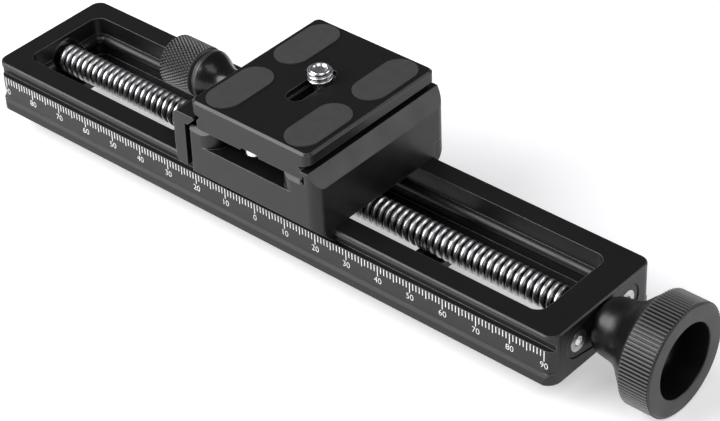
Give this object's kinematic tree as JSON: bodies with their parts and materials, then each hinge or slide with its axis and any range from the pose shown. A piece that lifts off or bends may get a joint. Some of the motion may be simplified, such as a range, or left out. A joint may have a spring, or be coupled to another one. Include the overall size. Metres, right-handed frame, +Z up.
{
  "type": "macro focusing rail camera slider",
  "caption": "Lead-screw camera slider: a carriage with a quick-release clamp and camera plate travels along a scaled base rail, driven by a knob at one end.",
  "frame": {"origin": "centre of the base rail's underside, under the zero of its scale", "axes": "+X along the rail towards the drive knob, +Y across the rail away from the scale, +Z up towards the camera plate"},
  "size_m": [0.2085, 0.048, 0.0472],
  "materials": {
    "black_anodised": "fine bead-blasted black anodising, bright machined edges",
    "knob_anodised": "turned and knurled, black anodised",
    "bright_steel": "ground and rolled, bright",
    "stainless": "turned stainless steel",
    "black_oxide": "black oxide, lightly oiled",
    "bronze": "machined bronze",
    "grip_rubber": "matt moulded rubber",
    "black_nylon": "moulded nylon",
    "scale_white": "laser-marked white scale"
  },
  "bodies": {
    "rail": {"rail_body": "black_anodised", "far_end_bushing": "bronze", "ball_bearing": "bright_steel", "bearing_retainer": "black_anodised", "retainer_screws": "stainless"},
    "lead_screw": {"lead_screw": "bright_steel", "thrust_shim": "bright_steel", "hub_spacer": "bright_steel", "drive_knob": "knob_anodised", "knob_grub_screws": "black_oxide"},
    "carriage": {"carriage_body": "black_anodised", "drive_nut": "bronze", "nut_screws": "black_oxide", "rear_guide": "black_anodised", "guide_screws": "black_oxide", "jaw_spring": "bright_steel"},
    "moving_jaw": {"moving_jaw": "black_anodised", "jaw_guide_pins": "bright_steel"},
    "clamp_knob": {"clamp_knob": "knob_anodised", "clamp_screw": "bright_steel", "clamp_washer": "stainless"},
    "qr_plate": {"qr_plate": "black_anodised", "grip_pads": "grip_rubber", "plate_stop_screws": "stainless"},
    "screw_slider": {"screw_slider": "black_nylon"},
    "camera_screw": {"camera_screw": "stainless"}
  },
  "joints": [
    {"name": "lead_screw_turn", "type": "hinge", "parent": "rail", "child": "lead_screw", "pos_m": [0, 0, 0.0078], "axis": [1, 0, 0], "range_deg": [-11882, 14042]},
    {"name": "carriage_slide", "type": "slide", "parent": "rail", "child": "carriage", "axis": [1, 0, 0], "range_m": [-0.078, 0.066]},
    {"name": "jaw_slide", "type": "slide", "parent": "carriage", "child": "moving_jaw", "axis": [1, 0, 0], "range_m": [-0.0012, 0.00057]},
    {"name": "clamp_knob_turn", "type": "hinge", "parent": "moving_jaw", "child": "clamp_knob", "pos_m": [0, 0, 0.0249], "axis": [1, 0, 0], "range_deg": [-541, 257.5]},
    {"name": "plate_slide", "type": "slide", "parent": "carriage", "child": "qr_plate", "axis": [0, 1, 0], "range_m": [-0.0158, 0.0158]},
    {"name": "camera_screw_slide", "type": "slide", "parent": "qr_plate", "child": "screw_slider", "axis": [0, 1, 0], "range_m": [-0.0088, 0.0024]},
    {"name": "camera_screw_turn", "type": "hinge", "parent": "screw_slider", "child": "camera_screw", "pos_m": [0.0042, 0.0027, 0.033], "axis": [0, 0, 1], "continuous": true}
  ],
  "couplings": [
    {"joint": "lead_screw_turn", "follows": "carriage_slide", "rad_per_m": -3141.6},
    {"joint": "clamp_knob_turn", "follows": "jaw_slide", "rad_per_m": 7854}
  ]
}
